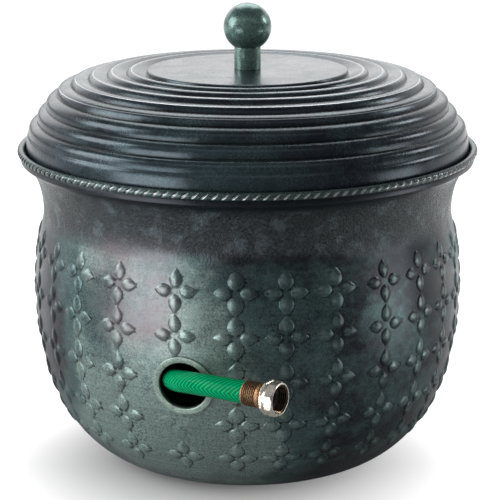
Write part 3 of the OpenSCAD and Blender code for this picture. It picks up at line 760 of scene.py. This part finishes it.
def petals_of(column):
    """A column's petals, but not the flower at the port or petals that would reach into its hole."""
    found = []
    for row, z in enumerate(flower_rows):
        if column == port_column and row == port_row:
            continue
        scale = 0.9 if row == small_row else 1.0
        strength = 0.3 if column == port_column and row == faint_row else 0.8 if column < -40 else 1
        width = wide_columns.get(column, upright_width)
        for turn in range(4):
            p = Petal(column, s_at_height(z), turn, scale, width, strength)
            tip_azimuth, tip_s = p.to_flat(np.array(1.0), np.array(0.0))
            tip = round_pot(tip_azimuth, *at_s(pot_outer, tip_s))
            if np.linalg.norm(tip - port_centre) > port_hole_r + 1.5:
                found.append(p)
    return found


column_petals = [petals_of(float(c)) for c in columns]


def petals_between(first, last):
    """Petals of the columns from first to last, of those that don't lie a full turn away."""
    return [p for petals in column_petals[max(first, 0):last + 1] for p in petals]


def relief(azimuth, up, petals):
    height = np.zeros(azimuth.shape)
    for p in petals:
        near = np.abs(up - p.s) < flower_reach
        if near.any():
            height[near] = np.maximum(height[near], p.height(azimuth[near], up[near]))
    return height


def surface(azimuth, up, lift=0.0, table=pot_outer):
    """Points on the pot's wall, lifted along its normal."""
    p, n = at_s(table, up), unit(at_s(pot_normal, up))
    return round_pot(azimuth, p[..., 0] + lift * n[..., 0], p[..., 1] + lift * n[..., 1])


def surface_normals(azimuth, up, petals):
    step = 0.15
    turn = np.degrees(step / at_s(pot_outer, up)[..., 0])
    slope_x = (relief(azimuth + turn, up, petals) - relief(azimuth - turn, up, petals)) / (2 * step)
    slope_y = (relief(azimuth, up + step, petals) - relief(azimuth, up - step, petals)) / (2 * step)
    n = unit(at_s(pot_normal, up))
    out, along = round_pot(azimuth, n[:, 0], n[:, 1]), round_pot(azimuth, -n[:, 1], n[:, 0])
    return unit(out - slope_x[:, None] * round_pot(azimuth + 90, 1, 0) - slope_y[:, None] * along)


def port_loop(table):
    """The hole's edge on one side of the wall, as azimuths and lengths up the wall."""
    a = 2 * np.pi * np.arange(loop_count)[:, None] / loop_count
    start = port_centre + port_hole_r * (np.cos(a) * port_x + np.sin(a) * port_up)
    low, high = np.full((2, loop_count), [[-25.0], [10.0]])
    for _ in range(40):
        middle = (low + high) / 2
        x, y, z = (start + middle[:, None] * port_axis).T
        inside = np.hypot(x, y) < np.interp(z, table[:, 1], table[:, 0])
        low, high = np.where(inside, middle, low), np.where(inside, high, middle)
    return np.degrees(np.arctan2(x, -y)), np.interp(z, table[:, 1], pot_s)


def port_distance(azimuth, up):
    d = surface(azimuth, up) - port_centre
    return np.linalg.norm(d - np.outer(d @ port_axis, port_axis), axis=1)


class Strip:
    """One strip laid flat: the points of its border, then those inside, and the edges that are kept."""

    def __init__(self, azimuth, up):
        self.azimuth, self.up, self.normal_at = [], [], []
        self.edges, self.wear, self.border = [], {}, len(azimuth)
        self.left, self.right = azimuth.min(), azimuth.max()
        self.add(azimuth, up, loop=True)

    def add(self, azimuth, up, normal_at=None, line=False, loop=False):
        """Adds points, joined to a line or a loop, and gives their numbers."""
        first = sum(len(a) for a in self.azimuth)
        numbers = list(range(first, first + len(azimuth)))
        self.azimuth.append(azimuth)
        self.up.append(up)
        self.normal_at.append(normal_at or (azimuth, up))
        if line or loop:
            self.edges += zip(numbers, numbers[1:] + numbers[:loop])
        return numbers

    def add_petal(self, p):
        """A petal's outline, dark with painted shade at the lower right, lines inside, pale with a painted
        highlight at the upper left, and a crest.
        """
        t = 0.5 - 0.5 * np.cos(np.pi * np.arange(1, rim_steps) / rim_steps)
        outline_t = np.concatenate([[0.0], t, [1.0], t[::-1]])
        side = np.concatenate([[0], np.ones(len(t)), [0], -np.ones(len(t))])
        a, s = p.to_flat(outline_t, side * p.width(outline_t))
        # The tips take the flat wall's normal, the sides the petal's own
        normal_t = np.where(side == 0, outline_t + np.sign(outline_t - 0.5) * 0.05, 0.03 + 0.94 * outline_t)
        normal_at = p.to_flat(normal_t, side * 0.95 * p.width(outline_t))
        a = np.clip(a, self.left + strip_margin, self.right - strip_margin)
        # Painted shade: the outline grows dark towards the petal's lower right
        shade = np.clip(0.1 + 0.9 * p.lower_right(a, s) * np.abs(side), 0, 1) * min(1, p.strength * 1.2)
        self.wear.update(zip(self.add(a, s, normal_at, loop=True), 0.5 - 0.45 * shade))
        for q in inner_rings:
            some = t if q > 0.6 else t[::2]
            for b in (q, -q):
                a, s = p.to_flat(some, b * p.width(some))
                numbers = self.add(a, s)
                if q < 0.9:
                    # Painted highlight towards the petal's upper left, added to the crest's own paleness
                    shade = np.clip(-p.lower_right(a, s), 0, 1)
                    self.wear.update(zip(numbers, 0.5 + p.height(a, s) / relief_h * 0.5 + 0.3 * shade))
        self.add(*p.to_flat(np.clip(t, 0.06, 0.94), 0 * t), line=True)

    def add_surround(self, p, others, has_port):
        """Two lines of points round a petal, where nothing else lies."""
        t = np.array([0.0, 0.12, 0.3, 0.5, 0.7, 0.88, 1.0])
        tip = np.array([-1, 0, 0, 0, 0, 0, 1])
        for off in surround:
            far_t = t + tip * off / (p.end - p.start)
            b = np.where(tip, 0, p.width(t) + off)
            for a, s in (p.to_flat(far_t, b), p.to_flat(far_t[1:-1], -b[1:-1])):
                ok = (a > self.left + strip_margin * 3) & (a < self.right - strip_margin * 3)
                for other in others:
                    ok &= other.distance(a, s) > off * surround_clear
                if has_port:
                    ok &= port_distance(a, s) > port_hole_r + surround_port
                self.add(a[ok], s[ok])

    def triangulate(self):
        """Azimuths, lengths, normals' places and numbers here of the points made, and the triangles."""
        plane = zip(np.concatenate(self.azimuth), np.concatenate(self.up))
        plane = [Vector((math.radians(a) * unroll_r, s)) for a, s in plane]
        made, _, triangles, origin, _, _ = delaunay_2d_cdt(plane, self.edges, [], 0, 1e-4)
        azimuth, up = np.degrees(np.array([v.x for v in made]) / unroll_r), np.array([v.y for v in made])
        source = np.array([min(o) if o else -1 for o in origin])
        normal_at = np.concatenate(self.normal_at, axis=1)[:, source]
        return azimuth, up, np.where(source < 0, (azimuth, up), normal_at), source, np.array(triangles)


class Wall:
    """The pot's wall in the making."""

    def __init__(self):
        self.points, self.wear, self.faces, self.is_flat = [], [], [], []
        self.normals, self.flat_normals = {}, {}

    def add_points(self, points, wear, normals=(), flat_normals=()):
        numbers = np.arange(len(points)) + len(self.points)
        self.points.extend(points)
        self.wear.extend(wear)
        self.normals.update(zip(numbers, normals))
        self.flat_normals.update(zip(numbers, flat_normals))
        return numbers

    def add_faces(self, faces, is_flat):
        self.faces.extend(faces.tolist())
        self.is_flat.extend(np.broadcast_to(is_flat, len(faces)))

    def add_rings(self, profile):
        points = round_pot(azimuths, profile[:, :1], profile[:, 1:]).reshape(-1, 3)
        low = self.add_points(points, np.full(len(points), 0.5)).reshape(len(profile), -1)
        after = np.roll(low, -1, axis=1)
        self.add_faces(np.stack([low[:-1], after[:-1], after[1:], low[1:]], axis=-1).reshape(-1, 4), False)
        return low

    def add_edge(self, i, outside, rows, table):
        """The points between a strip and the one before."""
        azimuth, near = np.full(len(rows), strip_edges[i]), petals_between(i - 1, i)
        height = relief(azimuth, rows, near) * outside
        normals = surface_normals(azimuth, rows, near) if outside else ()
        return self.add_points(surface(azimuth, rows, height, table), 0.5 + height / relief_h * 0.5, normals)

    def add_strip(self, i, outside, rows, table, edges, bottom, top):
        """One strip between the rings. It gives the port's edge, where it has it."""
        left, right = strip_edges[i:i + 2]
        has_port = left < -port_turn < right
        near = petals_between(i - 1, i + 1)
        j, after = i * across, (i + 1) * across % len(azimuths)
        border = np.array([*bottom[j:j + across], bottom[after], *edges[(i + 1) % strips], top[after],
                           *top[j:j + across][::-1], *edges[i][::-1]])
        ring, side = np.linspace(left, right, across + 1), np.ones(len(rows))
        strip = Strip(np.concatenate([ring, side * right, ring[::-1], side * left]),
                      np.concatenate([0 * ring + strip_low, rows, 0 * ring + strip_high, rows[::-1]]))
        for p in column_petals[i] * outside:
            strip.add_petal(p)
        for p in column_petals[i] * outside:
            strip.add_surround(p, near, has_port)
        grid = np.meshgrid(np.linspace(left, right, 9 if outside else 5)[1:-1], rows)
        a, s = grid[0].ravel(), grid[1].ravel()
        ok = np.ones(len(a), bool)
        for p in near * outside:
            ok &= p.distance(a, s) > grid_clear
        if has_port:
            ok &= port_distance(a, s) > port_hole_r + grid_port
            loop = strip.add(*port_loop(table), loop=True)
        strip.add(a[ok], s[ok])
        a, s, normal_at, source, triangles = strip.triangulate()
        height = relief(a, s, near) * outside
        fresh = (source < 0) | (source >= strip.border)
        wear = np.array([strip.wear.get(k, 0.5 + 0.5 * h / relief_h) for k, h in zip(source, height)])
        normals = flat_normals = ()
        if outside:
            normals = surface_normals(*normal_at[:, fresh], near)
            flat_normals = surface_normals(a[fresh], s[fresh], [])
        numbers = np.zeros(len(a), int)
        numbers[~fresh] = border[source[~fresh]]
        numbers[fresh] = self.add_points(surface(a[fresh], s[fresh], height[fresh], table), wear[fresh],
                                         normals, flat_normals)
        if has_port:
            middle = port_distance(a[triangles].mean(1), s[triangles].mean(1))
            triangles = triangles[middle > port_hole_r - 0.05]
        raised = relief(a[triangles].mean(1), s[triangles].mean(1), near) > 0
        triangles = numbers[triangles]
        self.add_faces(triangles if outside else triangles[:, ::-1], ~raised & outside)
        return numbers[[int(np.flatnonzero(source == k)[0]) for k in loop]] if has_port else None

    def corner_normals(self):
        """A corner on a petal's outline takes the petal's normal inside it and the wall's outside."""
        mesh = bpy.data.meshes.new("probe")
        mesh.from_pydata(np.array(self.points).tolist(), [], self.faces)
        mesh.update()
        normals = np.zeros(len(self.points) * 3, np.float32)
        mesh.vertex_normals.foreach_get("vector", normals)
        bpy.data.meshes.remove(mesh)
        normals = normals.reshape(-1, 3)
        normals[list(self.normals)] = list(self.normals.values())
        flat = normals.copy()
        flat[list(self.flat_normals)] = list(self.flat_normals.values())
        corners = np.array([k for f in self.faces for k in f])
        is_flat = np.repeat(self.is_flat, [len(f) for f in self.faces])
        return np.where(is_flat[:, None], flat[corners], normals[corners])


def build_pot():
    """The wall: rings at the foot, then strips outside and inside, and rings at the mouth with the band."""
    wall = Wall()
    band_in, band_top, end = band_r - pot_wall, rope_z + 2.8, pot_s[-1]
    low = wall.add_rings(np.vstack([
        at_s(pot_inner, np.linspace(strip_low, 0, 8))[:-1], [(foot_lip_r, pot_wall), (foot_lip_r, 0)],
        at_s(pot_outer, np.linspace(0, strip_low, 12))]))
    high = wall.add_rings(np.vstack([
        at_s(pot_outer, np.linspace(strip_high, end - 1.2, 20)),
        vec(0, mouth[1]) + [(mouth[0] + 0.6, 0.45), (band_r - 0.5, 0.9), (band_r - 0.05, 1.6), (band_r, 2.4)],
        [(band_r, band_top), (band_in, band_top), (band_in, mouth[1] + 2.2)],
        at_s(pot_inner, np.linspace(end, strip_high, 8))]))
    outer_rows, inner_rows = (np.linspace(strip_low, strip_high, n)[1:-1] for n in (44, 12))
    sides = ((True, outer_rows, pot_outer), (False, inner_rows, pot_inner))
    edges = [[wall.add_edge(i, *side) for i in range(strips)] for side in sides]
    ends = (edges[0], low[-1], high[0]), (edges[1], low[0], high[-1])
    rims = [wall.add_strip(i, *side, *end) for side, end in zip(sides, ends) for i in range(strips)]
    rim, inner_rim = (r for r in rims if r is not None)
    wall.add_faces(np.stack([rim, inner_rim, np.roll(inner_rim, -1), np.roll(rim, -1)], axis=-1), False)
    return wall


wall = build_pot()
piece("pot_wall", wall.points, wall.faces, pot_paint, "pot", "patina", ("side_shell",),
      normals=wall.corner_normals().tolist(), values={"wear": wall.wear})


# ---- Rope edge, port ring ----
def rope_edge():
    """A rolled bead with slanted notches pressed into its outer face."""
    strands, per_strand, depth, lean = 158, 20, 2.0, 0.36
    b = np.radians(np.concatenate([np.linspace(-72, 62, 17), np.linspace(62, 288, 9)[1:-1]]))[None, :]
    a = np.linspace(0, 2 * np.pi, strands * per_strand, endpoint=False)[:, None]
    phase = (strands * a / (2 * np.pi) - lean * b) % 1
    cut = np.interp(phase, [0.10, 0.27, 0.50], [0, 1, 0])
    reach = np.clip(np.cos((b + 0.1) * 1.5), 0, 1) ** 0.5
    r = rope_r - 0.1 - depth * cut * reach
    radius = rope_ring_r + r * np.cos(b)
    verts = np.stack([radius * np.cos(a), radius * np.sin(a), rope_z + r * np.sin(b)], axis=-1)
    # Painted shade at the bottom of a notch and a painted highlight on its far side
    notch_shade_and_highlight = reach * np.interp(phase, [0.06, 0.14, 0.28, 0.33, 0.38, 0.47, 0.54], [0, -1, -1, 0, 1, 1, 0])
    return verts.reshape(-1, 3), [f[::-1] for f in skin(strands * per_strand, b.size, True)], notch_shade_and_highlight.ravel()


verts, faces, notch_shade_and_highlight = rope_edge()
piece("rope_edge", verts, faces, rope_paint, "pot", "patina", ("rope_rim",), sharp=80, values={"edge": notch_shade_and_highlight})

sag_side = port_body_r - math.sqrt(port_body_r ** 2 - port_hole_r ** 2)
sag_up = port_body_r - (pot_r(port_z + port_hole_r) + pot_r(port_z - port_hole_r)) / 2
flange_back = -min(sag_side, sag_up) + port_gap
flange_front = flange_back + port_flange_t
lip_front = flange_back - port_gap - pot_wall - 1.5
lip_back = lip_front - port_lip_t
collar_r = port_r + port_collar_t
ring_profile = fillet([(port_r, lip_back), (collar_r + port_lip, lip_back), (collar_r + port_lip, lip_front),
                       (collar_r, lip_front), (collar_r, flange_back), (port_r + port_flange, flange_back),
                       (port_r + port_flange, flange_front), (port_r, flange_front)],
                      [0.4, 0.5, 0.3, 0, 0, 0.3, 1.1, 0.9])
# Painted shade: 1 on the bore behind the flange's front face, which is painted nearly black
deep = np.clip((flange_front - 0.7 - ring_profile[:, 1]) / 0.5, 0, 1) * (ring_profile[:, 0] < port_r + 0.5)
turned_piece("port_rim", ring_profile, 160, ring_paint, "pot", "patina", ("port_ring",),
             (np.stack([port_x, port_up, port_axis], axis=1), port_centre), sharp=50,
             values={"painted_hole_shade": np.repeat(deep, 160)})


# ---- Lid ----
def lid_profile():
    """The lid's profile, its marks for painted highlight along the crests and painted shade in the grooves,
    and its top's height.
    """
    lid_r = rope_ring_r - rope_r - lid_gap
    hem_x = lid_r - hem_r
    reach = hem_r + seat_gap
    near = np.abs(pot_inner[:, 0] - hem_x) < reach
    near &= pot_inner[:, 1] > neck[1]
    hem_z = float((pot_inner[near, 1] + np.sqrt(reach ** 2 - (pot_inner[near, 0] - hem_x) ** 2)).max())
    top = hem_z + lid_h
    start, end = vec(disc_r, top - disc_drop), vec(lid_r - skirt_in, hem_z + skirt_h)
    dome = bezier(start, start + (dome_top, 0), end + (-dome_side, dome_up), end, 200)
    length = running(dome)
    step = (length[-1] - first_groove) * (1 - step_ratio) / (1 - step_ratio ** lid_steps)
    grooves = [first_groove + step * (1 - step_ratio ** k) / (1 - step_ratio) for k in range(lid_steps + 1)]
    grooves = [vec(np.interp(s, length, dome[:, 0]), np.interp(s, length, dome[:, 1])) for s in grooves]
    corner = vec(disc_r - disc_edge / 2, top)
    rows = [[(0, top), (screw_r + 20, top), (disc_r * 0.6, top), (disc_r - 8, top)],
            bezier(corner, corner + (disc_edge, 0), grooves[0] + (-disc_edge / 3, disc_drop / 2),
                   grooves[0], 8)]
    for k, (a, b) in enumerate(zip(grooves[:-1], grooves[1:])):
        low = k / (lid_steps - 1)
        rise, drop = step_in + (step_in_low - step_in) * low, step_out + (step_out_low - step_out) * low
        rows.append(bezier(a, a + 0.6 * turned(b - a, rise), b - 0.4 * turned(b - a, -drop), b, 16)[1:])
    skirt_end = vec(lid_r, hem_z + skirt_h / 3)
    rows.append(bezier(end, end + (1.8, 0.2), (lid_r, hem_z + skirt_h / 2 + 2), skirt_end, 8)[1:])
    curl = np.radians(np.arange(0, 281, 14))
    rows.append(np.stack([hem_x + hem_r * np.cos(curl), hem_z - hem_r * np.sin(curl)], axis=1))
    outer = np.vstack(rows)
    # -1 along the grooves, where shade is painted, and 1 along the upper crests, where a highlight is painted
    s = running(outer)
    step_ends = 4 + 9 - 1 + 16 * np.arange(lid_steps + 1)
    edge = -np.clip(1 - np.abs(s[:, None] - s[step_ends[:-1]]) / 2.6, 0, 1).max(axis=1)
    edge += np.clip(1 - np.abs(s[:, None] - s[step_ends[:-4] + 9]) / 0.9, 0, 1).max(axis=1)
    inner = outer[4:] + lid_wall * left_normals(outer[4:]) * -1
    edge = np.concatenate([edge, 0 * inner[::-2, 0], [0]])
    return np.vstack([outer, inner[::-2], [(0, top - lid_wall)]])[::-1], edge[::-1], top


profile, edge, lid_top = lid_profile()
edge = np.concatenate([np.repeat(edge[1:-1], 320), edge[[0, -1]]])
turned_piece("lid_dome", profile, 320, lid_paint, "lid", "lid_patina", ("lid_shell",), closed=False, sharp=48,
             values={"edge": edge})

# ---- Knob ----
stem_top = lid_top + stem_h
ball_z = stem_top + math.sqrt(ball_r ** 2 - stem_r ** 2)
low_angle = math.asin(stem_r / ball_r)
arc = np.linspace(math.pi - low_angle, 0, 48)
ball_line = np.stack([ball_r * np.sin(arc), ball_z + ball_r * np.cos(arc)], axis=1)
ball_line[-1, 0] = 0
turned_piece("ball", np.vstack([[(0, stem_top), (stem_r - 1.2, stem_top)], ball_line]), 96, knob_paint, "lid",
             "lid_patina", ("knob_ball",), closed=False, sharp=50)
stem_bore_r = screw_r + 0.2
stem_line = fillet([(stem_bore_r, lid_top), (stem_r, lid_top), (stem_r, stem_top), (stem_bore_r, stem_top)],
                   [0, 0.5, 0.6, 0])
turned_piece("ball_neck", stem_line, 96, knob_paint, "lid", "lid_patina", ("knob_neck",), sharp=50)


# ---- Stage and light ----
def background_rays(g):
    """1 for rays from the camera, and 1 for mirrored and clear rays: only they see the white background."""
    rays = g.tree.nodes.new("ShaderNodeLightPath").outputs
    return rays["Is Camera Ray"], g.math("MAXIMUM", rays["Is Glossy Ray"], rays["Is Transmission Ray"])


def floor_white(lit):
    g = Graph("floor_white")
    g.set(Base_Color=rgb(150, 150, 150), Roughness=0.9)
    g.shader.inputs["Specular IOR Level"].default_value = 0.1
    x, y, _ = g.xyz(g.place())
    # Painted shadow: the distance from the pot counts larger at the sides and behind, so the painted shadow
    # is narrower there
    x = g.times(g.plus(x, 0.03), 1.2)
    away = g.math("POWER", g.plus(g.times(x, x), g.times(y, y)), 0.5)
    away = g.plus(away, g.span(y, -0.10, 0.10, 0.0, 0.08))
    # The lamps light the floor round the pot, and further off it glows white by itself; the glow fades near
    # the pot, painting a soft shadow round it, mostly in front.
    seen, mirrored = background_rays(g)
    rays = g.plus(seen, g.times(mirrored, g.span(y, -0.1, 0.6)))
    glow = g.add("ShaderNodeEmission", Color=(1, 1, 1, 1),
                 Strength=g.times(rays, g.span(away, 0.13, 0.32, lit, 1.0, "LINEAR")))
    both = g.add("ShaderNodeAddShader", i0=g.shader.outputs[0], i1=glow)
    g.put(g.tree.nodes["Material Output"].inputs["Surface"], both)
    return g.material


def make_floor(half, lit):
    mesh = bpy.data.meshes.new("floor")
    corners = [(-half, -half, 0), (half, -half, 0), (half, half, 0), (-half, half, 0)]
    mesh.from_pydata(corners, [], [(0, 1, 2, 3)])
    mesh.materials.append(floor_white(lit))
    floor = bpy.data.objects.new("floor", mesh)
    bpy.context.scene.collection.objects.link(floor)


def make_room(ambient, dim):
    """A white room behind the pot, a dim one in front of it and above."""
    world = bpy.data.worlds.new("studio")
    bpy.context.scene.world = world
    g = Graph("studio", world)
    _, to_back, to_top = g.xyz(g.add("ShaderNodeTexCoord", 0))
    seen, mirrored = background_rays(g)
    back = g.times(g.span(to_back, 0.1, 0.6), g.window(to_top, -0.02, 0.12, 0.35, 0.65))
    room = g.plus(g.times(back, 1 - dim), dim)
    mirrored = g.times(mirrored, g.minus(room, ambient))
    g.set(Color=(1, 1, 1, 1), Strength=g.plus(ambient, g.plus(g.times(seen, 1 - ambient), mirrored)))


make_floor(12, 0.08)
make_room(0.26, 0.12)


def softbox(name, where, towards, width, height, glow, colour=(1, 1, 1)):
    """A soft lamp that is glow times as bright as white, and isn't seen itself."""
    light = bpy.data.lights.new(name, "AREA")
    light.shape = "RECTANGLE"
    light.size, light.size_y, light.color = width, height, colour
    light.energy = glow * math.pi * width * height
    obj = bpy.data.objects.new(name, light)
    bpy.context.scene.collection.objects.link(obj)
    obj.location = where
    obj.rotation_euler = (Vector(towards) - Vector(where)).to_track_quat("-Z", "Y").to_euler()
    obj.visible_camera = False


softbox("left_box", (-0.40, -0.45, 0.19), (0, 0, 0.19), 0.32, 0.36, 4.3, (1, 0.965, 0.98))
softbox("left_fill", (-1.6, -0.2, 0.95), (0, 0, 0.3), 1.0, 1.0, 6)
softbox("right_strip", (0.55, -0.22, 0.165), (0, 0, 0.165), 0.22, 0.31, 3.6)
softbox("right_fill", (1.5, 0.3, 1.0), (0, 0, 0.35), 0.4, 0.5, 9)
softbox("back_box", (0, 1.2, 1.85), (0, 0, 0.45), 1.6, 1.1, 4)
softbox("front_top", (0, -1.6, 1.9), (0, 0, 0.4), 3.4, 0.9, 0.35)
softbox("back_low", (-0.3, 2.0, 1.1), (0, 0, 0.4), 2.8, 1.1, 0.8)

bpy.context.scene.view_settings.view_transform = "Standard"
